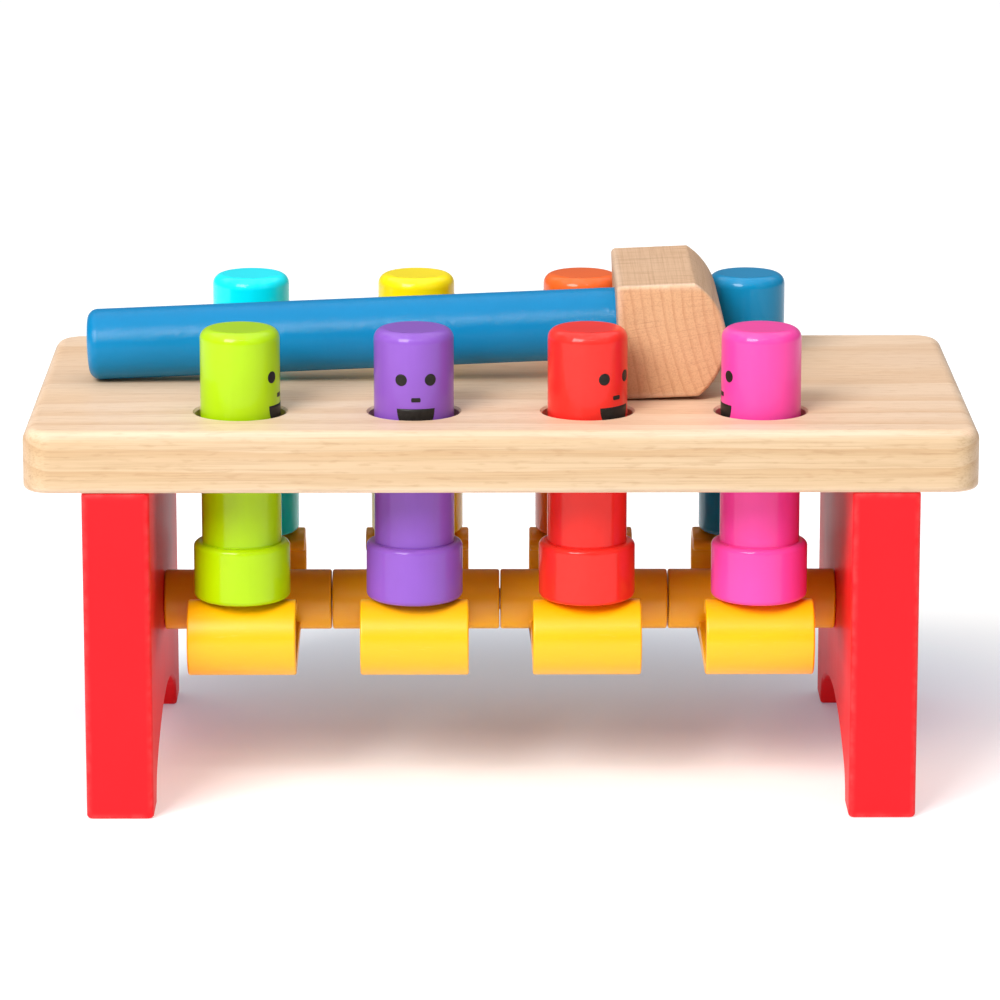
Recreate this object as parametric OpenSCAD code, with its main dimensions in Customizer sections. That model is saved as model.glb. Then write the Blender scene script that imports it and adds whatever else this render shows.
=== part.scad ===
// Peg pounding bench: a board on two arched legs, eight captive pegs on four see-saw rockers, and a mallet.
// Millimetres. Origin on the floor under the middle of the board. +X along the board, -Y front, +Z up.

/* [Bench top] */
// Length of the board
top_l = 260; // [250:1:300]
// Depth of the board, front to back
top_d = 136; // [130:1:160]
// Thickness of the board
top_t = 17; // [14:0.5:22]
// Radius of the board's corners, seen from above
top_corner_r = 8; // [6:0.5:14]
// Radius of the rounded edge round the top face
top_edge_r = 3.5; // [1:0.5:5]
// Radius of the softened edge round the underside
top_under_r = 1.5; // [0.5:0.25:3]
// Bevel round the mouths of the peg holes
hole_bevel = 0.6; // [0.2:0.1:1.2]

/* [Legs] */
// Height of a leg, from the floor to the board's underside
leg_h = 92; // [88:1:110]
// Thickness of a leg panel
leg_t = 18.5; // [16:0.5:22]
// How far the board runs out past a leg's outer face
leg_overhang = 16; // [10:0.5:24]
// How far a leg stands back from the board's front and back faces
leg_inset = 1; // [0.5:0.5:4]
// Radius of a leg's upright edges
leg_edge_r = 2; // [0.5:0.5:4]
// Width of the arch between a leg's feet, at the floor
arch_w = 104; // [80:1:110]
// Height of the arch at its crown
arch_h = 18.5; // [14:0.5:26]
// Radius of the arch's ends, where it springs from the feet
arch_end_r = 10; // [6:0.5:12]

/* [Pegs] */
// Diameter of a peg
peg_d = 22; // [18:0.5:26]
// Room all round a peg in its hole
peg_room = 1.5; // [0.5:0.25:2.5]
// Distance between the front row of pegs and the back row
row_spacing = 80; // [74:1:90]
// How far a peg stands above the board while its rocker is level
peg_rise = 23.5; // [20:0.5:30]
// Radius of a peg's rounded top edge
peg_top_r = 3; // [1:0.5:5]
// How far a peg's foot collar runs out past its hole, all round
collar_lip = 0.8; // [0.5:0.1:1.2]
// Height of the foot collar
collar_h = 16; // [10:0.5:17]
// Radius of the collar's rounded edges
collar_edge_r = 1.5; // [0.5:0.25:3]

/* [Rockers] */
// Height of the axle above the floor
axle_h = 45.5; // [42:0.5:50]
// Diameter of the axle
axle_d = 6; // [5:0.5:8]
// Depth of the axle's seat in each leg
axle_seat = 10; // [6:0.5:12]
// Diameter of a rocker's hub
hub_d = 17; // [14:0.5:20]
// Side gap between neighbouring hubs
hub_gap = 0.3; // [0.2:0.1:0.6]
// Width of a rocker's arms
arm_w = 30; // [24:0.5:36]
// Wall of the arms and of their curled ends
arm_t = 3; // [2:0.25:4]
// How far above the hub's lowest line the arms' underside starts
arm_rise = 1; // [0.5:0.25:2]
// Outer radius of a curled end
curl_r = 10.5; // [8:0.5:12]
// How far the middle of a curl lies outside its row of pegs
curl_lead = 3; // [1:0.5:5]
// How far a curl turns in past its top, in degrees
curl_turn = 40; // [30:1:60]
// How far the bead along a curl's end stands out past its wall
bead_lip = 0.3; // [0.2:0.1:0.5]
// Gap between a peg's foot and the curl under it
peg_gap = 0.5; // [0.3:0.1:0.9]

/* [Mallet] */
// Diameter of the handle
handle_d = 20; // [16:0.5:24]
// Length of the handle outside the head
handle_out = 149; // [120:1:150]
// Radius of the handle's rounded end
handle_end_r = 3; // [1:0.5:6]
// Depth of the handle's seat in the head
handle_seat = 20; // [14:0.5:24]
// Thickness of the head, along the handle
head_t = 30; // [28:0.5:34]
// Height of the head
head_h = 32; // [28:0.5:36]
// Radius of the head's rounded far side
head_nose_r = 19.5; // [18:0.5:30]
// Radius of the head's softened edges
head_edge_r = 1.2; // [0.5:0.1:2]
// Room that the head leaves between the two rows of pegs, both ends together
head_room = 7; // [4:0.5:20]
// Gap between the head and the back row of pegs
mallet_gap = 1; // [0.5:0.25:3]
// Gap between the lying mallet and the board
mallet_lift = 0.25; // [0.1:0.05:0.4]

/* [Dowels] */
// Diameter of a leg dowel
dowel_d = 8; // [6:0.5:10]
// Length of a leg dowel
dowel_l = 32; // [24:1:40]
// How far a dowel goes up into the board
dowel_up = 10; // [8:0.5:11]
// Distance between a leg's neighbouring dowels
dowel_spacing = 42; // [30:1:50]
// Bevel round a dowel's ends
dowel_bevel = 1; // [0.5:0.25:2]

/* [Fits] */
// Room all round the axle in a hub
running_room = 0.05; // [0.02:0.01:0.1]
// Room all round a rod in its glued seat
seat_room = 0.05; // [0.02:0.01:0.1]
// Room left past the end of a rod in its seat
seat_end_room = 0.5; // [0.2:0.1:1]

/* [Hidden] */
$fn = 96;
// How far a cut runs out past the face that it opens
overrun = 1;
columns = 4;
dowels_per_leg = 3;
front = -1;
back = 1;
left = -1;
right = 1;

// Between the legs the hubs share the width evenly, and each pair of pegs stands over its own rocker
inner_span = top_l - 2 * leg_overhang - 2 * leg_t;
pitch = inner_span / columns;
hub_w = pitch - hub_gap;
leg_x = inner_span / 2 + leg_t / 2;
leg_d = top_d - 2 * leg_inset;
row_y = row_spacing / 2;
top_z = leg_h + top_t;

// The arch has three centres: one for each end and one for the crown, tangent where they meet
arch_end_y = arch_w / 2 - arch_end_r;
crown_r = (arch_end_y ^ 2 + arch_h ^ 2 - arch_end_r ^ 2) / (2 * (arch_h - arch_end_r));
crown_z = arch_h - crown_r;

// A peg reaches from the curl under its foot to its height above the board
hole_d = peg_d + 2 * peg_room;
collar_d = hole_d + 2 * collar_lip;
peg_foot_z = axle_h + curl_r + peg_gap;
peg_l = top_z + peg_rise - peg_foot_z;

// A curl is centred level with the axle, and its top stays under the peg's foot as the rocker tilts
arm_reach = row_y + curl_lead;
curl_end_angle = 90 + curl_turn;
curl_start_angle = 270;

// The mallet lies between the rows, its head between the last two columns and close to the back row
head_mid_x = pitch;
head_side_gap = pitch / 2 - head_t / 2;
peg_bulge = sqrt(max(0, (peg_d / 2) ^ 2 - head_side_gap ^ 2));
head_l = row_spacing - 2 * peg_bulge - head_room;
mallet_x = head_mid_x - head_t / 2;
mallet_y = row_y - peg_bulge - mallet_gap - head_l / 2;
// It tilts until the handle's end and the head's near edge both lie on the board
mallet_tilt = atan((head_h - handle_d) / 2 / (handle_out - handle_end_r));
mallet_z = top_z + mallet_lift + head_h / 2 * cos(mallet_tilt);
head_nose_x = head_t - head_nose_r;
// Its square part ends half way along the flats that run on into the rounded far side
head_flat_l = sqrt(max(0, (head_nose_r - head_edge_r) ^ 2 - (head_h / 2) ^ 2));
head_square_x = head_nose_x + head_flat_l / 2;

wood = "#E6C797";
leg_red = "#E3262B";
rocker_yellow = "#FFCF12";
steel = "#B9BCC0";

// Place of a column along the board, counted from the left
function column_x(column) = (column - (columns - 1) / 2) * pitch;

// Place of a leg's dowel, counted from the front
function dowel_y(index) = (index - (dowels_per_leg - 1) / 2) * dowel_spacing;

// Point at a distance and an angle from the origin
function polar(distance, angle) = distance * [cos(angle), sin(angle)];

// Right half of an upright section, rounded at its outer top and bottom corners
module half_section(half_w, height, top_r, under_r) {
    square([half_w - under_r, under_r]);
    translate([0, under_r])
        square([half_w, height - top_r - under_r]);
    translate([0, height - top_r])
        square([half_w - top_r, top_r]);
    translate([half_w - top_r, height - top_r])
        circle(top_r);
    translate([half_w - under_r, under_r])
        circle(under_r);
}

// The whole of that section
module full_section(half_w, height, top_r, under_r) {
    half_section(half_w, height, top_r, under_r);
    mirror([1, 0])
        half_section(half_w, height, top_r, under_r);
}

// Extrudes a section drawn across and up along the X axis, about its middle
module along_x(length) {
    rotate([90, 0, 90])
        linear_extrude(length, center = true)
            children();
}

// Rod along the X axis, about its middle
module rod_x(length, diameter) {
    rotate([0, 90, 0])
        cylinder(h = length, d = diameter, center = true);
}

// Rectangle with rounded corners, about its middle
module rounded_rectangle(width, height, radius) {
    corner = [width / 2 - radius, height / 2 - radius];
    square([width, 2 * corner.y], center = true);
    square([2 * corner.x, height], center = true);
    for (x = [left, right], y = [front, back])
        translate([x * corner.x, y * corner.y])
            circle(radius);
}

// Plate with rounded corners and rounded edges
module rounded_plate() {
    along_x(top_l - 2 * top_corner_r)
        full_section(top_d / 2, top_t, top_edge_r, top_under_r);
    rotate([90, 0, 0])
        linear_extrude(top_d - 2 * top_corner_r, center = true)
            full_section(top_l / 2, top_t, top_edge_r, top_under_r);
    for (x = [left, right], y = [front, back])
        translate([x * (top_l / 2 - top_corner_r), y * (top_d / 2 - top_corner_r), 0])
            rotate_extrude()
                half_section(top_corner_r, top_t, top_edge_r, top_under_r);
}

// Cut for one peg hole, bevelled at both mouths
module peg_hole() {
    bevel_d = hole_d + 2 * (hole_bevel + overrun);
    translate([0, 0, -overrun])
        cylinder(h = top_t + 2 * overrun, d = hole_d);
    translate([0, 0, top_t - hole_bevel])
        cylinder(h = hole_bevel + overrun, d1 = hole_d, d2 = bevel_d);
    translate([0, 0, -overrun])
        cylinder(h = hole_bevel + overrun, d1 = bevel_d, d2 = hole_d);
}

module bench_top() {
    color(wood)
        translate([0, 0, leg_h])
            difference() {
                rounded_plate();
                for (column = [0 : columns - 1], row = [front, back])
                    translate([column_x(column), row * row_y, 0])
                        peg_hole();
                for (side = [left, right], index = [0 : dowels_per_leg - 1])
                    translate([side * leg_x, dowel_y(index), -overrun])
                        cylinder(h = dowel_up + seat_end_room + overrun, d = dowel_d + 2 * seat_room);
            }
}

// Outline of the arch between the feet
module arch_outline() {
    crown_centre = [0, crown_z];
    end_centres = [[-arch_end_y, 0], [arch_end_y, 0]];
    // The wedge that holds the crown's arc runs from the crown's centre past the arch
    wedge = [for (end = end_centres) crown_centre + 2 * (end - crown_centre)];
    for (end = end_centres)
        translate(end)
            circle(arch_end_r);
    intersection() {
        translate(crown_centre)
            circle(crown_r);
        polygon([crown_centre, wedge[0], wedge[1]]);
    }
}

module leg(side) {
    seat_l = axle_seat + seat_end_room;
    color(leg_red)
        translate([side * leg_x, 0, 0])
            difference() {
                linear_extrude(leg_h)
                    rounded_rectangle(leg_t, leg_d, leg_edge_r);
                along_x(leg_t + 2 * overrun)
                    arch_outline();
                translate([-side * (leg_t + overrun - seat_l) / 2, 0, axle_h])
                    rod_x(seat_l + overrun, axle_d + 2 * seat_room);
                for (index = [0 : dowels_per_leg - 1])
                    translate([0, dowel_y(index), leg_h + dowel_up - dowel_l - seat_end_room])
                        cylinder(h = dowel_l + seat_end_room, d = dowel_d + 2 * seat_room);
            }
}

module left_leg() {
    leg(left);
}

module right_leg() {
    leg(right);
}

// Upright wooden dowels between the board and one leg
module leg_dowels(side) {
    color(wood)
        for (index = [0 : dowels_per_leg - 1])
            translate([side * leg_x, dowel_y(index), leg_h + dowel_up - dowel_l]) {
                cylinder(h = dowel_bevel, d1 = dowel_d - 2 * dowel_bevel, d2 = dowel_d);
                translate([0, 0, dowel_bevel])
                    cylinder(h = dowel_l - 2 * dowel_bevel, d = dowel_d);
                translate([0, 0, dowel_l - dowel_bevel])
                    cylinder(h = dowel_bevel, d1 = dowel_d, d2 = dowel_d - 2 * dowel_bevel);
            }
}

module left_leg_dowels() {
    leg_dowels(left);
}

module right_leg_dowels() {
    leg_dowels(right);
}

module rocker_axle() {
    color(steel)
        translate([0, 0, axle_h])
            rod_x(inner_span + 2 * axle_seat, axle_d);
}

// Curled end of an arm, with a bead along its lip, seen along the axle and centred on the origin
module curl_section() {
    open_angles = [curl_end_angle, (curl_end_angle + curl_start_angle) / 2, curl_start_angle];
    difference() {
        circle(curl_r);
        circle(curl_r - arm_t);
        polygon([[0, 0], for (angle = open_angles) polar(2 * curl_r, angle)]);
    }
    translate(polar(curl_r - arm_t / 2, curl_end_angle))
        circle(arm_t / 2 + bead_lip);
}

// One arm, seen along the axle: a plate from low on the hub out to its curl
module arm_section() {
    start_z = arm_rise - hub_d / 2;
    polygon([[0, start_z], [arm_reach, -curl_r], [arm_reach, arm_t - curl_r], [0, start_z + arm_t]]);
    translate([arm_reach, 0])
        curl_section();
}

module rocker(column) {
    color(rocker_yellow)
        translate([column_x(column), 0, axle_h])
            difference() {
                union() {
                    rod_x(hub_w, hub_d);
                    along_x(arm_w) {
                        arm_section();
                        mirror([1, 0])
                            arm_section();
                    }
                }
                rod_x(hub_w + 2 * overrun, axle_d + 2 * running_room);
            }
}

module rocker_1() {
    rocker(0);
}

module rocker_2() {
    rocker(1);
}

module rocker_3() {
    rocker(2);
}

module rocker_4() {
    rocker(3);
}

// Turned peg: a rod with a rounded top, and a collar at its foot that cannot pass the hole
module peg(column, row, paint) {
    color(paint)
        translate([column_x(column), row * row_y, peg_foot_z])
            rotate_extrude() {
                half_section(collar_d / 2, collar_h, collar_edge_r, collar_edge_r);
                half_section(peg_d / 2, peg_l, peg_top_r, collar_edge_r);
            }
}

module peg_green() {
    peg(0, front, "#B4DC0A");
}

module peg_purple() {
    peg(1, front, "#A868D8");
}

module peg_red() {
    peg(2, front, "#F0302C");
}

module peg_pink() {
    peg(3, front, "#F04CB0");
}

module peg_cyan() {
    peg(0, back, "#1CCFE8");
}

module peg_yellow() {
    peg(1, back, "#FFC40A");
}

module peg_orange() {
    peg(2, back, "#F0703A");
}

module peg_blue() {
    peg(3, back, "#0E86B8");
}

// Puts a mallet piece, drawn with the handle along -X from the head's near face, where the mallet lies
module lying_mallet() {
    translate([mallet_x, mallet_y, mallet_z])
        rotate([0, -mallet_tilt, 0])
            children();
}

// Rectangle that runs from the head's near face to past its far side, with its near corners rounded
module from_near_face(width) {
    length = head_t + overrun;
    intersection() {
        translate([length, 0])
            rounded_rectangle(2 * length, width, head_edge_r);
        translate([0, -width / 2])
            square([length, width]);
    }
}

// Head without the handle's seat: square on the near side, rounded on the far side, with softened edges
module head_block() {
    past_l = head_l + 2 * overrun;
    past_h = head_h + 2 * overrun;
    intersection() {
        along_x(2 * head_t)
            rounded_rectangle(head_l, head_h, head_edge_r);
        rotate([90, 0, 0])
            linear_extrude(past_l, center = true)
                from_near_face(head_h);
        linear_extrude(past_h, center = true)
            from_near_face(head_l);
        union() {
            translate([-overrun, -past_l / 2, -past_h / 2])
                cube([head_square_x + overrun, past_l, past_h]);
            translate([head_nose_x, head_l / 2, 0])
                rotate([90, 0, 0])
                    rotate_extrude()
                        half_section(head_nose_r, head_l, head_edge_r, head_edge_r);
        }
    }
}

module mallet_head() {
    seat_l = handle_seat + seat_end_room;
    color(wood)
        lying_mallet()
            difference() {
                head_block();
                translate([(seat_l - overrun) / 2, 0, 0])
                    rod_x(seat_l + overrun, handle_d + 2 * seat_room);
            }
}

module mallet_handle() {
    handle_l = handle_out + handle_seat;
    color("#0A8CCB")
        lying_mallet()
            translate([handle_seat, 0, 0])
                rotate([0, -90, 0])
                    rotate_extrude()
                        half_section(handle_d / 2, handle_l, handle_end_r, handle_end_r);
}

bench_top();
left_leg();
right_leg();
left_leg_dowels();
right_leg_dowels();
rocker_axle();
rocker_1();
rocker_2();
rocker_3();
rocker_4();
peg_green();
peg_purple();
peg_red();
peg_pink();
peg_cyan();
peg_yellow();
peg_orange();
peg_blue();
mallet_head();
mallet_handle();
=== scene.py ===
import math

import bmesh
import bpy
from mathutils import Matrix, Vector


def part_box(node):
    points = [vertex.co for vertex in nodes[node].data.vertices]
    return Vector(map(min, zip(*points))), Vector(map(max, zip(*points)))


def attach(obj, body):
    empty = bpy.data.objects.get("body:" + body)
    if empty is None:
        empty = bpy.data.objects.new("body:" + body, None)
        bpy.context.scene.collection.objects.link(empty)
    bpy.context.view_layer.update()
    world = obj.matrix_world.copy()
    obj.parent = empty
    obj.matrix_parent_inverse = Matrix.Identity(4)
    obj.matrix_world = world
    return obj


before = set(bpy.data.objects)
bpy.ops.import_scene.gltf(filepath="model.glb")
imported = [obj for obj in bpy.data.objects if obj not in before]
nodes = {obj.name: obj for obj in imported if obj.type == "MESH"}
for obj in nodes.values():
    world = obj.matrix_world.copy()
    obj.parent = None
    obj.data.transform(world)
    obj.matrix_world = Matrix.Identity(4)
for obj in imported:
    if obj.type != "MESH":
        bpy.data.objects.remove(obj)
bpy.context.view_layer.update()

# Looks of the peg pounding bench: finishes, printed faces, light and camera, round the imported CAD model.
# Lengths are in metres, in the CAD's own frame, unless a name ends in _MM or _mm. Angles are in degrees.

MM = 0.001
ROCKERS = [f"rocker_{number}" for number in (1, 2, 3, 4)]

# Colours of paints, plastic, metal and ink
PEG_PAINTS = {
    "peg_green": "#A8D200",
    "peg_purple": "#8754BA",
    "peg_red": "#E82A22",
    "peg_pink": "#EE449F",
    "peg_cyan": "#00EBFA",
    "peg_yellow": "#FBE200",
    "peg_orange": "#EA6424",
    "peg_blue": "#0084B6",
}
LEG_RED = "#EC1C24"
HANDLE_BLUE = "#007BB0"
ROCKER_YELLOW = "#FDB600"
SCUFF_YELLOW = "#FFE680"
STEEL_DULL = "#8F9296"
STEEL_BRIGHT = "#C9CCD0"
INK_BLACK = "#15120F"
INK_THIN = "#2E2A27"
INK_PINHOLE = "#4A4440"
WHITE = (1, 1, 1, 1)

# Tones of bare wood: pale, warm, latewood and fleck, with a tint for faces that look along an axis, partly
# end-grain tone and partly painted shade
BOARD_TONES = ("#E8CDB4", "#E2C09C", "#D0A67C", "#B28860")
BOARD_GRAIN_SHADE_TINTS = {"X": "#E6E1D7", "Y": "#E2E0D2"}
HEAD_TONES = ("#D7B495", "#CDA37D", "#B88861", "#9F7553")
HEAD_GRAIN_SHADE_TINTS = {"Y": "#FFF4E3"}
DOWEL_TONES = ("#E9CFA6", "#DDB98A", "#C79A66", "#B48A5A")
SANDED_WOOD = (1, 0.96, 0.9, 1)
RUBBED_PAINT = (1, 0.95, 0.88, 1)

# Texture of bare wood: grains in a millimetre along the grain, across it and square to both
DRIFT_SCALES = (0.006, 0.012, 0.012)
WOBBLE_SCALES = (0.02, 0.14, 0.14)
FIBRE_SCALES = (0.025, 2.2, 2.2)
STREAK_SCALES = (0.008, 0.22, 0.22)
PATCH_SCALES = (0.012, 0.03, 0.03)
SAW_SCALES = (0.5, 0.02, 0.02)

# The floor's glow is painted light: weak and cool behind the bench, a painted shadow there that takes the
# warm bounce out of the shade, and stronger and white away from it
FLOOR_WHITE = "#DADADA"
FLOOR_HALF = 20.0
PAINTED_SHADOW_COOL = "#9CCBFF"
PAINTED_SHADOW_GLOW = 0.1
PAINTED_LIGHT_AWAY = 0.42
PAINTED_SHADOW_MIDDLE_MM = (10, 72)
PAINTED_SHADOW_STRETCH = 1.75
PAINTED_SHADOW_FADE_MM = (22, 122)

# Studio lights: each one's place, width, height and power. All are turned to the bench.
BENCH_MIDDLE = (0, 0, 0.08)
WORLD_LIGHT = 0.15
STUDIO_LIGHTS = {
    "ceiling": ((0, 0.5, 4.0), 7.0, 7.0, 160),
    "key": ((-1.4, -2.15, 2.05), 1.6, 1.6, 115),
    "strip": ((0, -2.0, 2.1), 2.4, 0.12, 9),
    "fill": ((1.9, -1.9, 1.2), 1.6, 1.6, 4),
}

# Faces printed on the pegs: the way each one looks, from the front, positive to the right
FACE_TURNS = {
    "peg_green": 76,
    "peg_purple": 3.4,
    "peg_red": 45,
    "peg_pink": -78,
    "peg_cyan": -24,
    "peg_yellow": 18,
    "peg_orange": -38,
    "peg_blue": 160,
}
PEG_R = 11 * MM
EYE_R = 1.65 * MM
EYE_TURN = 21.4
EYE_DROP = 12.7 * MM
NOSE_HALF_W = 1.3 * MM
NOSE_HALF_H = 0.6 * MM
NOSE_SQUARENESS = 16
NOSE_DROP = 18.2 * MM
MOUTH_HALF_W = 5.35 * MM
MOUTH_DEPTH = 7 * MM
MOUTH_DROP = 20.7 * MM
INK_PROUD = 0.06 * MM
INK_THICK = 0.12 * MM
INK_WELD = 0.004 * MM

# Edges that are rounded for the looks: width, and what counts as one flat face or as a sharp edge
SOFT_EDGES_MM = {"left_leg": 1.0, "right_leg": 1.0, "mallet_head": 0.8}
ROCKER_EDGE_MM = 0.6
EDGE_SEGMENTS = 3
EDGE_WELD = 0.002 * MM
FLAT_ANGLE = 0.4
SHARP_ANGLE = 35

# Camera fitted to the photograph: place, downward pitch, turn to the right and focal length
CAMERA_PLACE = (-0.0092, -1.4656, 0.4166)
CAMERA_PITCH = 13.142
CAMERA_TURN = 0.362
CAMERA_NEAREST = 0.05
SENSOR_MM = 36
LENS_MM = 190.7


def colour(code):
    """Linear colour with alpha from a hex code, by the sRGB formula."""
    parts = [int(code[i:i + 2], 16) / 255 for i in (1, 3, 5)]
    return [c / 12.92 if c <= 0.04045 else ((c + 0.055) / 1.055) ** 2.4 for c in parts] + [1]


def shade(code, share):
    """That colour, with its light changed by a share."""
    return [c * share for c in colour(code)[:3]] + [1]


class Shader:
    """A material's nodes, with one short call for each kind that is used here."""

    def __init__(self, name):
        self.material = bpy.data.materials.new(name)
        self.material.use_nodes = True
        self.tree = self.material.node_tree
        self.surface = self.tree.nodes["Principled BSDF"]

    def node(self, kind, **settings):
        """A new node of a kind, with its settings."""
        made = self.tree.nodes.new(kind)
        for key, value in settings.items():
            setattr(made, key, value)
        return made

    def feed(self, socket, value):
        """Links a socket to another one, or sets it to a plain value."""
        if isinstance(value, bpy.types.NodeSocket):
            self.tree.links.new(value, socket)
        else:
            socket.default_value = value

    def set(self, **values):
        """Sets the surface's sockets. An underscore in a name stands for a space."""
        for key, value in values.items():
            self.feed(self.surface.inputs[key.replace("_", " ")], value)

    def math(self, operation, *values):
        """One step of arithmetic on values or sockets."""
        made = self.node("ShaderNodeMath", operation=operation)
        for socket, value in zip(made.inputs, values):
            self.feed(socket, value)
        return made.outputs[0]

    def place_mm(self):
        """The point's place in the CAD frame, as three lengths in millimetres."""
        coordinates = self.node("ShaderNodeTexCoord").outputs["Object"]
        scale = self.node("ShaderNodeVectorMath", operation="SCALE")
        self.feed(scale.inputs[0], coordinates)
        self.feed(scale.inputs["Scale"], 1 / MM)
        split = self.node("ShaderNodeSeparateXYZ")
        self.feed(split.inputs[0], scale.outputs[0])
        return list(split.outputs)

    def facing(self, axis):
        """1 where the surface faces along an axis of the piece, either way, and 0 where it lies along it."""
        lies_along, faces = 0.5, 0.85
        split = self.node("ShaderNodeSeparateXYZ")
        self.feed(split.inputs[0], self.node("ShaderNodeTexCoord").outputs["Normal"])
        return self.steps(self.math("ABSOLUTE", split.outputs["XYZ".index(axis)]), lies_along, faces)

    def point(self, *parts):
        """Three lengths as one point."""
        made = self.node("ShaderNodeCombineXYZ")
        for socket, value in zip(made.inputs, parts):
            self.feed(socket, value)
        return made.outputs[0]

    def noise(self, parts, scales, detail=2.0, roughness=0.5):
        """Noise from 0 to 1 over three lengths, each with its own number of grains in a millimetre."""
        scaled = [self.math("MULTIPLY", part, scale) for part, scale in zip(parts, scales)]
        made = self.node("ShaderNodeTexNoise")
        self.feed(made.inputs["Vector"], self.point(*scaled))
        self.feed(made.inputs["Scale"], 1.0)
        self.feed(made.inputs["Detail"], detail)
        self.feed(made.inputs["Roughness"], roughness)
        return made.outputs["Fac"]

    def even_noise(self, parts, scale, detail=2.0):
        """Noise with the same number of grains in a millimetre each way."""
        return self.noise(parts, (scale, scale, scale), detail)

    def steps(self, value, low, high):
        """Smooth rise from 0 at low to 1 at high."""
        made = self.node("ShaderNodeMapRange", interpolation_type="SMOOTHSTEP")
        self.feed(made.inputs["Value"], value)
        self.feed(made.inputs["From Min"], low)
        self.feed(made.inputs["From Max"], high)
        return made.outputs[0]

    def spread(self, value, low, high):
        """A value from 0 to 1, moved to run from low to high."""
        made = self.node("ShaderNodeMapRange")
        self.feed(made.inputs["Value"], value)
        self.feed(made.inputs["To Min"], low)
        self.feed(made.inputs["To Max"], high)
        return made.outputs[0]

    def inverse(self, share):
        """1 less a share."""
        return self.math("SUBTRACT", 1.0, share)

    def mix(self, share, first, second, blend="MIX"):
        """The first colour, with a share of the second one."""
        made = self.node("ShaderNodeMix", data_type="RGBA", blend_type=blend)
        # A mix node has these sockets for colours beside those for numbers and vectors
        share_socket, first_socket, second_socket, colour_output = 0, 6, 7, 2
        self.feed(made.inputs[share_socket], share)
        self.feed(made.inputs[first_socket], first)
        self.feed(made.inputs[second_socket], second)
        return made.outputs[colour_output]

    def bump(self, height, depth_mm):
        """Normal of a relief, where a height of 1 stands for a depth."""
        made = self.node("ShaderNodeBump")
        self.feed(made.inputs["Height"], height)
        self.feed(made.inputs["Distance"], depth_mm * MM)
        return made.outputs[0]

    def total(self, *weighted):
        """Sum of values, each with its own weight."""
        parts = [self.math("MULTIPLY", value, weight) for value, weight in weighted]
        while len(parts) > 1:
            parts.append(self.math("ADD", parts.pop(0), parts.pop(0)))
        return parts[0]

    def length(self, first, second):
        """Length of the long side of a right triangle."""
        squares = [self.math("POWER", part, 2.0) for part in (first, second)]
        return self.math("SQRT", self.math("ADD", *squares))

    def box_edges(self, place, box, width_mm):
        """1 along the edges of a box, falling to 0 at a width from them."""
        gaps = []
        for part, low, high in zip(place, box[0] / MM, box[1] / MM):
            reach = self.math("ABSOLUTE", self.math("SUBTRACT", part, (low + high) / 2))
            gaps.append(self.math("SUBTRACT", (high - low) / 2, reach))
        near = self.math("MINIMUM", gaps[0], gaps[1])
        far = self.math("MAXIMUM", gaps[0], gaps[1])
        # The middle one of the three gaps to the faces is small only where two faces meet
        middle = self.math("MAXIMUM", near, self.math("MINIMUM", far, gaps[2]))
        return self.inverse(self.steps(middle, 0.0, width_mm))

    def rim(self, place, box, width_mm):
        """1 along the top rim of a peg, falling to 0 at a width from it."""
        middle = (box[0] + box[1]) / 2 / MM
        across = [self.math("SUBTRACT", place[i], middle[i]) for i in (0, 1)]
        side_gap = self.math("SUBTRACT", PEG_R / MM, self.length(*across))
        top_gap = self.math("SUBTRACT", box[1].z / MM, place[2])
        return self.inverse(self.steps(self.math("MAXIMUM", side_gap, top_gap), 0.0, width_mm))


def growth_rings(shader, grain_place, pith_mm, ring_mm, ring_start):
    """Rings round a pith: the ways outward and around it, and 1 in the dark last share of each ring."""
    drift_mm = 14.0
    wobble_mm = 0.46 * ring_mm
    ring_end = 0.93
    across, up = grain_place[1:]
    drift = shader.noise(grain_place, DRIFT_SCALES)
    from_pith = shader.math("SUBTRACT", across, pith_mm[0])
    from_pith = shader.math("ADD", from_pith, shader.math("MULTIPLY", drift, drift_mm))
    above_pith = shader.math("SUBTRACT", up, pith_mm[1])
    wobble = shader.math("MULTIPLY", shader.noise(grain_place, WOBBLE_SCALES, detail=3), wobble_mm)
    outward = shader.math("ADD", shader.length(from_pith, above_pith), wobble)
    turn = shader.math("ARCTAN2", above_pith, from_pith)
    around = shader.math("MULTIPLY", turn, math.hypot(*pith_mm))
    phase = shader.math("FRACT", shader.math("DIVIDE", outward, ring_mm))
    rise = shader.steps(phase, ring_start, ring_end)
    fall = shader.inverse(shader.steps(phase, ring_end, 1.0))
    return outward, around, shader.math("MULTIPLY", rise, fall)


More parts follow.
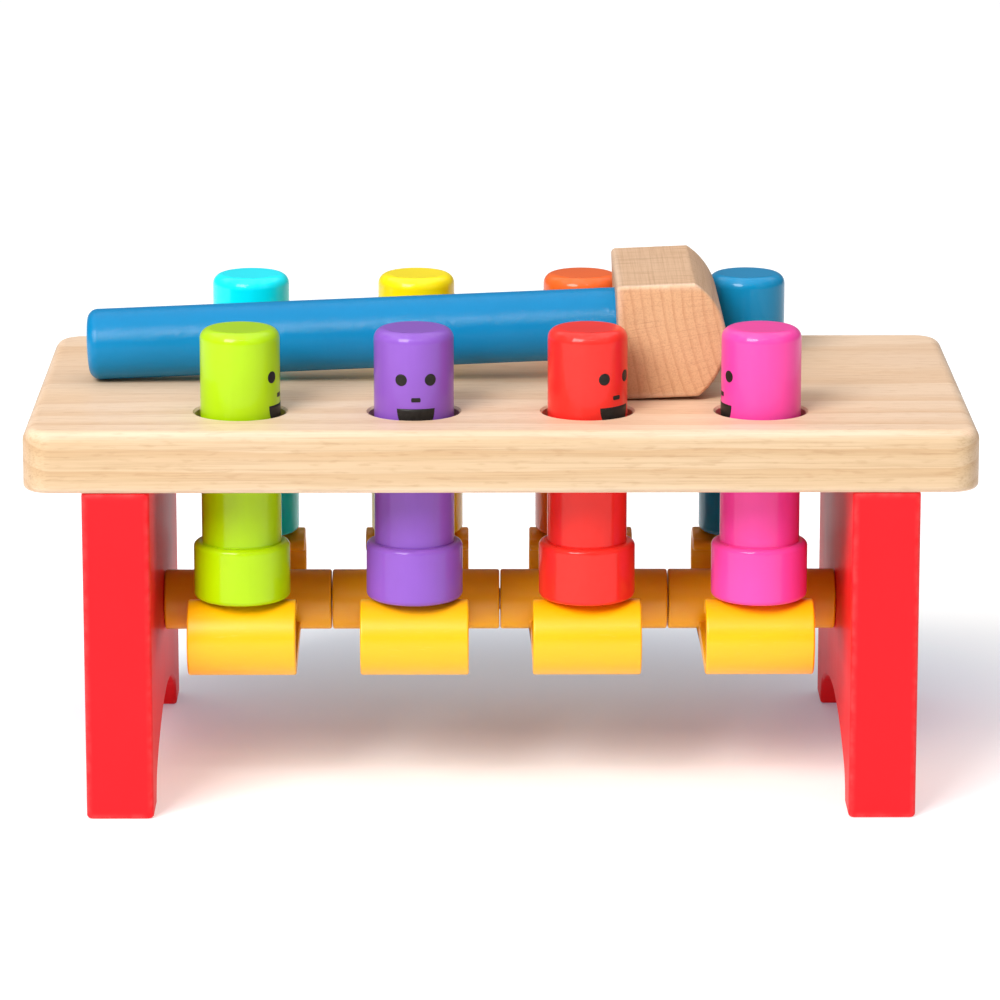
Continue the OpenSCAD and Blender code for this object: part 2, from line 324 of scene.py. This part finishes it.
def wood(name, tones, grain, pith_mm, ring_mm, ring_start, ray_scales, ray_share, grain_shade_tints, box, roughness,
         saw_share=0.0):
    """Bare hardwood: growth rings, fibres along the grain, ray flecks, worn edges and saw marks, with face
    tints that are partly grain tone and partly painted shade.

    grain names the axes along the grain, across it and square to both. saw_share is how strongly saw marks
    show, and hide the rings, on faces that look up or down: 0 on planed wood.
    """
    worn_edge_mm = 2.6
    relief_mm = 0.08
    saw_dark_share = 0.4
    ray_limits = (0.54, 0.74)
    saw_limits = (0.5, 0.64)
    fibre_limits = (0.42, 0.8)
    pale, warm, late, fleck = [colour(code) for code in tones]
    shader = Shader(name)
    place = shader.place_mm()
    grain_place = [place["XYZ".index(letter)] for letter in grain]
    outward, around, latewood = growth_rings(shader, grain_place, pith_mm, ring_mm, ring_start)
    fibres = shader.noise(grain_place, FIBRE_SCALES, detail=5, roughness=0.65)
    streaks = shader.noise(grain_place, STREAK_SCALES, detail=3)
    patches = shader.noise(grain_place, PATCH_SCALES)
    rays = shader.noise((outward, around, grain_place[0]), ray_scales)
    ray_marks = shader.steps(rays, *ray_limits)
    sawn = shader.math("MULTIPLY", shader.facing("Z"), saw_share)
    saw_lines = shader.noise(grain_place, SAW_SCALES, detail=4, roughness=0.7)
    saw_marks = shader.math("MULTIPLY", shader.steps(saw_lines, *saw_limits), sawn)
    latewood = shader.math("MULTIPLY", latewood, shader.inverse(sawn))

    tone = shader.mix(shader.spread(patches, -0.2, 1.0), pale, warm)
    dark_rings = shader.math("MULTIPLY", latewood, shader.spread(streaks, 0.1, 0.75))
    tone = shader.mix(dark_rings, tone, late)
    tone = shader.mix(shader.steps(fibres, *fibre_limits), tone, shader.mix(0.5, tone, fleck))
    tone = shader.mix(shader.math("MULTIPLY", ray_marks, ray_share), tone, fleck)
    tone = shader.mix(shader.math("MULTIPLY", saw_marks, saw_dark_share), tone, fleck)
    # Partly grain tone, partly painted shade: faces that look along an axis are darkened or warmed by a
    # tint.
    for axis, grain_shade_tint in grain_shade_tints.items():
        grain_shaded_tone = shader.mix(1.0, tone, colour(grain_shade_tint), blend="MULTIPLY")
        tone = shader.mix(shader.facing(axis), tone, grain_shaded_tone)
    edges = shader.box_edges(place, box, worn_edge_mm)
    worn = shader.math("MULTIPLY", edges, shader.spread(streaks, 0.05, 0.5))
    shader.set(Base_Color=shader.mix(worn, tone, shader.mix(0.5, pale, SANDED_WOOD)))

    sheen = shader.spread(patches, 0.9, 1.1)
    shader.set(Roughness=shader.total((fibres, 0.16), (ray_marks, 0.08), (sheen, roughness)))
    relief = shader.total((fibres, 0.7), (latewood, -0.25), (ray_marks, -0.4))
    shader.set(Normal=shader.bump(relief, relief_mm), Specular_IOR_Level=0.4)
    return shader.material


def painted_wood(name, code, edges, grain_axis, grain_scales, roughness, coat_weight, coat_roughness,
                 relief_mm, coat_relief_mm, wear_share):
    """Paint on wood: a slight change of tone, grain that shows through as relief, and paler rubbed edges.

    edges makes the mask of the edges, from the shader and the point's place.
    """
    dark_grain_share = 0.12
    dark_grain_limits = (0.45, 0.8)
    rub_limits = (0.2, 0.9)
    shader = Shader(name)
    place = shader.place_mm()
    clouds = shader.even_noise(place, 0.05, detail=3)
    peel = shader.even_noise(place, 0.3, detail=1)
    rubs = shader.even_noise(place, 0.3, detail=3)
    grain = shader.noise(place, grain_scales, detail=4, roughness=0.6)
    grain = shader.math("MULTIPLY", grain, shader.inverse(shader.facing(grain_axis)))

    tone = shader.mix(clouds, shade(code, 0.9), shade(code, 1.08))
    dark_grain = shader.math("MULTIPLY", shader.steps(grain, *dark_grain_limits), dark_grain_share)
    tone = shader.mix(dark_grain, tone, shade(code, 0.75))
    rubbed = shader.math("MULTIPLY", edges(shader, place), shader.steps(rubs, *rub_limits))
    rubbed = shader.math("MULTIPLY", rubbed, wear_share)
    shader.set(Base_Color=shader.mix(rubbed, tone, shader.mix(0.5, colour(code), RUBBED_PAINT)))

    shader.set(Roughness=shader.total((clouds, 0.06), (grain, 0.12), (rubbed, 0.3), (roughness, 1.0)))
    relief = shader.total((grain, 0.7), (peel, 0.5))
    shader.set(Normal=shader.bump(relief, relief_mm), Coat_Normal=shader.bump(relief, coat_relief_mm))
    shader.set(Specular_IOR_Level=0.1, Coat_Weight=coat_weight, Coat_Roughness=coat_roughness)
    return shader.material


def box_wear(name, width_mm=2.2):
    """Edge mask of a boxy node."""
    return lambda shader, place: shader.box_edges(place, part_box(name), width_mm)


def rim_wear(name, width_mm=3.2):
    """Edge mask of a peg's top rim."""
    return lambda shader, place: shader.rim(place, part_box(name), width_mm)


def rocker_plastic():
    """Moulded plastic: faint flow marks, a fine skin texture and pale scuffs."""
    least_roughness = 0.24
    scuff_share = 0.12
    scuff_limits = (0.62, 0.8)
    relief_mm = 0.02
    shader = Shader("rocker_yellow")
    place = shader.place_mm()
    flow = shader.noise(place, (0.03, 0.12, 0.12), detail=3)
    skin = shader.even_noise(place, 3.5)
    scuffs = shader.steps(shader.noise(place, (0.25, 2.4, 2.4)), *scuff_limits)
    tone = shader.mix(flow, shade(ROCKER_YELLOW, 0.9), shade(ROCKER_YELLOW, 1.06))
    tone = shader.mix(shader.math("MULTIPLY", scuffs, scuff_share), tone, colour(SCUFF_YELLOW))
    shader.set(Base_Color=tone)
    shader.set(Roughness=shader.total((flow, 0.08), (skin, 0.08), (scuffs, 0.1), (least_roughness, 1.0)))
    shader.set(Normal=shader.bump(shader.total((skin, 0.5), (flow, 0.5)), relief_mm))
    shader.set(Subsurface_Weight=0.06, Subsurface_Radius=(3 * MM, 1.5 * MM, 0.5 * MM))
    return shader.material


def drawn_steel():
    """Drawn steel rod: fine lines along it, with a little dulling."""
    least_roughness = 0.18
    relief_mm = 0.01
    shader = Shader("axle_steel")
    place = shader.place_mm()
    lines = shader.noise(place, (0.05, 5.0, 5.0), detail=3)
    dulling = shader.noise(place, (0.08, 0.2, 0.2), detail=3)
    shader.set(Base_Color=shader.mix(dulling, colour(STEEL_DULL), colour(STEEL_BRIGHT)))
    shader.set(Roughness=shader.total((lines, 0.2), (dulling, 0.15), (least_roughness, 1.0)))
    shader.set(Normal=shader.bump(lines, relief_mm), Metallic=1.0)
    return shader.material


def printed_ink():
    """Printed ink: nearly black, with thin places and a fine dry texture."""
    least_roughness = 0.3
    pinhole_share = 0.35
    pinhole_limits = (0.66, 0.78)
    relief_mm = 0.01
    shader = Shader("face_ink")
    place = shader.place_mm()
    cover = shader.even_noise(place, 0.8, detail=4)
    pinholes = shader.steps(shader.even_noise(place, 4.0), *pinhole_limits)
    tone = shader.mix(cover, shade(INK_BLACK, 0.7), colour(INK_THIN))
    tone = shader.mix(shader.math("MULTIPLY", pinholes, pinhole_share), tone, colour(INK_PINHOLE))
    shader.set(Base_Color=tone)
    shader.set(Roughness=shader.total((cover, 0.2), (least_roughness, 1.0)))
    shader.set(Normal=shader.bump(shader.total((cover, 0.5), (pinholes, -0.5)), relief_mm))
    shader.set(Specular_IOR_Level=0.2)
    return shader.material


def floor_finish():
    """Pale matt studio floor, with a glow that is painted light: a weak, cool painted shadow behind the
    bench and a white glow away from it.
    """
    shader = Shader("floor_white")
    place = shader.place_mm()
    clouds = shader.even_noise(place, 0.004)
    shader.set(Base_Color=shader.mix(clouds, shade(FLOOR_WHITE, 0.985), colour(FLOOR_WHITE)))
    shader.set(Roughness=shader.spread(clouds, 0.7, 0.8))
    # Painted shadow: the glow is weak and cool in an oval behind the bench and rises to white painted light
    # away from it.
    across = shader.math("DIVIDE", shader.math("SUBTRACT", place[0], PAINTED_SHADOW_MIDDLE_MM[0]), PAINTED_SHADOW_STRETCH)
    behind = shader.math("SUBTRACT", place[1], PAINTED_SHADOW_MIDDLE_MM[1])
    out_of_painted_shadow = shader.steps(shader.length(across, behind), *PAINTED_SHADOW_FADE_MM)
    shader.set(Emission_Color=shader.mix(out_of_painted_shadow, colour(PAINTED_SHADOW_COOL), WHITE))
    shader.set(Emission_Strength=shader.spread(out_of_painted_shadow, PAINTED_SHADOW_GLOW, PAINTED_LIGHT_AWAY))
    return shader.material


def finish_node(name, material):
    """Gives a CAD node its material."""
    mesh = nodes[name].data
    mesh.materials.clear()
    mesh.materials.append(material)


def finish_board():
    """Board: flat-sawn, with the grain along it and the pith below it."""
    finish_node("bench_top", wood(
        "board_wood", BOARD_TONES, grain="XYZ", pith_mm=(30, -75), ring_mm=5.2, ring_start=0.25,
        ray_scales=(0.9, 2.4, 0.16), ray_share=0.24, grain_shade_tints=BOARD_GRAIN_SHADE_TINTS, box=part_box("bench_top"),
        roughness=0.36))


def finish_mallet():
    """Mallet: bare head with end grain at its front and back, and painted handle."""
    pith_right_mm, pith_up_mm = 95, 18
    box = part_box("mallet_head")
    middle = (box[0] + box[1]) / 2 / MM
    finish_node("mallet_head", wood(
        "mallet_wood", HEAD_TONES, grain="YXZ", pith_mm=(middle.x + pith_right_mm, middle.z + pith_up_mm),
        ring_mm=2.9, ring_start=0.55, ray_scales=(0.09, 2.0, 1.0), ray_share=0.34, grain_shade_tints=HEAD_GRAIN_SHADE_TINTS,
        box=box, roughness=0.42, saw_share=0.85))
    finish_node("mallet_handle", painted_wood(
        "handle_blue", HANDLE_BLUE, box_wear("mallet_handle"), grain_axis="X", grain_scales=(1.3, 0.4, 0.4),
        roughness=0.36, coat_weight=0.3, coat_roughness=0.1, relief_mm=0.05, coat_relief_mm=0.4,
        wear_share=0.12))


def finish_leg(side):
    """Leg on one side, painted, and its bare dowels."""
    dowels = side + "_leg_dowels"
    finish_node(dowels, wood(
        side + "_dowel_wood", DOWEL_TONES, grain="ZXY", pith_mm=(60, 40), ring_mm=3.0, ring_start=0.5,
        ray_scales=(0.09, 2.0, 1.0), ray_share=0.3, grain_shade_tints={}, box=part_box(dowels), roughness=0.45))
    leg = side + "_leg"
    finish_node(leg, painted_wood(
        leg + "_red", LEG_RED, box_wear(leg), grain_axis="Z", grain_scales=(1.2, 1.2, 0.03),
        roughness=0.38, coat_weight=0.05, coat_roughness=0.2, relief_mm=0.02, coat_relief_mm=0.02,
        wear_share=0.12))


def finish_rockers():
    """Rockers of one plastic on a steel axle."""
    finish_node("rocker_axle", drawn_steel())
    plastic = rocker_plastic()
    for rocker in ROCKERS:
        finish_node(rocker, plastic)


def finish_pegs():
    """Pegs in glossy paint, each with a printed face."""
    ink = printed_ink()
    for peg, paint in PEG_PAINTS.items():
        finish_node(peg, painted_wood(
            peg + "_paint", paint, rim_wear(peg), grain_axis="Z", grain_scales=(0.4, 0.4, 0.03),
            roughness=0.26, coat_weight=0.4, coat_roughness=0.04, relief_mm=0.006, coat_relief_mm=0.006,
            wear_share=0.1))
        printed_face(peg, ink)


def soften(name, width_mm):
    """Rounds a CAD node's sharp edges for the looks, over its flat faces made whole."""
    piece = nodes[name]
    weld = piece.modifiers.new("weld", "WELD")
    weld.merge_threshold = EDGE_WELD
    whole = piece.modifiers.new("whole_faces", "DECIMATE")
    whole.decimate_type = "DISSOLVE"
    whole.angle_limit = math.radians(FLAT_ANGLE)
    bevel = piece.modifiers.new("soft_edges", "BEVEL")
    bevel.width = width_mm * MM
    bevel.segments = EDGE_SEGMENTS
    bevel.limit_method = "ANGLE"
    bevel.angle_limit = math.radians(SHARP_ANGLE)
    bevel.use_clamp_overlap = False
    normals = piece.modifiers.new("even_shading", "WEIGHTED_NORMAL")
    normals.keep_sharp = False


def face_patch(mesh, axis, turn, middle_z, half_w, top, bottom):
    """Adds a patch that lies round a peg: at each arc length from its middle it runs from bottom to top."""
    columns, rows = 24, 8
    radius = PEG_R + INK_PROUD
    grid = []
    for column in range(columns + 1):
        arc = -half_w * math.cos(math.pi * column / columns)
        angle = math.radians(turn) + arc / PEG_R
        high, low = middle_z + top(arc), middle_z + bottom(arc)
        x, y = axis.x + radius * math.sin(angle), axis.y - radius * math.cos(angle)
        grid.append([mesh.verts.new((x, y, low + (high - low) * row / rows)) for row in range(rows + 1)])
    for left, right in zip(grid, grid[1:]):
        for row in range(rows):
            mesh.faces.new((left[row], right[row], right[row + 1], left[row + 1]))


def printed_face(peg, ink):
    """A smiling face printed on one peg: two eyes, a nose and an open mouth."""
    low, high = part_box(peg)
    axis, turn = (low + high) / 2, FACE_TURNS[peg]
    mesh = bmesh.new()

    def round_edge(half_w, half_h, squareness=2):
        return lambda arc: half_h * math.sqrt(max(0.0, 1 - (arc / half_w) ** squareness))

    def below(edge):
        return lambda arc: -edge(arc)

    eye = round_edge(EYE_R, EYE_R)
    for side in (-1, 1):
        face_patch(mesh, axis, turn + side * EYE_TURN, high.z - EYE_DROP, EYE_R, eye, below(eye))
    nose = round_edge(NOSE_HALF_W, NOSE_HALF_H, NOSE_SQUARENESS)
    face_patch(mesh, axis, turn, high.z - NOSE_DROP, NOSE_HALF_W, nose, below(nose))
    smile = round_edge(MOUTH_HALF_W, MOUTH_DEPTH)
    face_patch(mesh, axis, turn, high.z - MOUTH_DROP, MOUTH_HALF_W, lambda arc: 0.0, below(smile))
    bmesh.ops.remove_doubles(mesh, verts=mesh.verts, dist=INK_WELD)
    data = bpy.data.meshes.new(peg.replace("peg", "face"))
    mesh.to_mesh(data)
    mesh.free()
    data.materials.append(ink)
    data.shade_smooth()
    piece = bpy.data.objects.new(data.name, data)
    bpy.context.scene.collection.objects.link(piece)
    film = piece.modifiers.new("film", "SOLIDIFY")
    film.thickness = INK_THICK
    film.offset = -1
    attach(piece, peg)


def add_floor():
    """Wide pale floor under the bench."""
    mesh = bmesh.new()
    bmesh.ops.create_grid(mesh, x_segments=4, y_segments=4, size=FLOOR_HALF)
    data = bpy.data.meshes.new("floor")
    mesh.to_mesh(data)
    mesh.free()
    data.materials.append(floor_finish())
    floor = bpy.data.objects.new("floor", data)
    bpy.context.scene.collection.objects.link(floor)


def add_light(name, place, width, height, power):
    """Oblong soft light at a place, turned to the bench."""
    lamp = bpy.data.lights.new(name, "AREA")
    lamp.shape = "RECTANGLE"
    lamp.size = width
    lamp.size_y = height
    lamp.energy = power
    light = bpy.data.objects.new(name, lamp)
    light.location = place
    light.rotation_euler = (Vector(BENCH_MIDDLE) - Vector(place)).to_track_quat("-Z", "Y").to_euler()
    bpy.context.scene.collection.objects.link(light)


def add_studio():
    """Pale even surroundings and the studio lights."""
    world = bpy.data.worlds.new("studio")
    world.use_nodes = True
    background = world.node_tree.nodes["Background"]
    background.inputs["Color"].default_value = WHITE
    background.inputs["Strength"].default_value = WORLD_LIGHT
    bpy.context.scene.world = world
    for name, (place, width, height, power) in STUDIO_LIGHTS.items():
        add_light(name, place, width, height, power)


def add_camera():
    """Camera at the photograph's view."""
    lens = bpy.data.cameras.new("camera")
    lens.sensor_width = SENSOR_MM
    lens.lens = LENS_MM
    lens.clip_start = CAMERA_NEAREST
    camera = bpy.data.objects.new("camera", lens)
    camera.location = CAMERA_PLACE
    camera.rotation_euler = (math.radians(90 - CAMERA_PITCH), 0, math.radians(-CAMERA_TURN))
    bpy.context.scene.collection.objects.link(camera)
    bpy.context.scene.camera = camera


finish_board()
finish_mallet()
for side in ("left", "right"):
    finish_leg(side)
finish_rockers()
finish_pegs()

for name, width_mm in SOFT_EDGES_MM.items():
    soften(name, width_mm)
for rocker in ROCKERS:
    soften(rocker, ROCKER_EDGE_MM)

add_floor()
add_studio()
add_camera()
bpy.context.scene.view_settings.view_transform = "Standard"
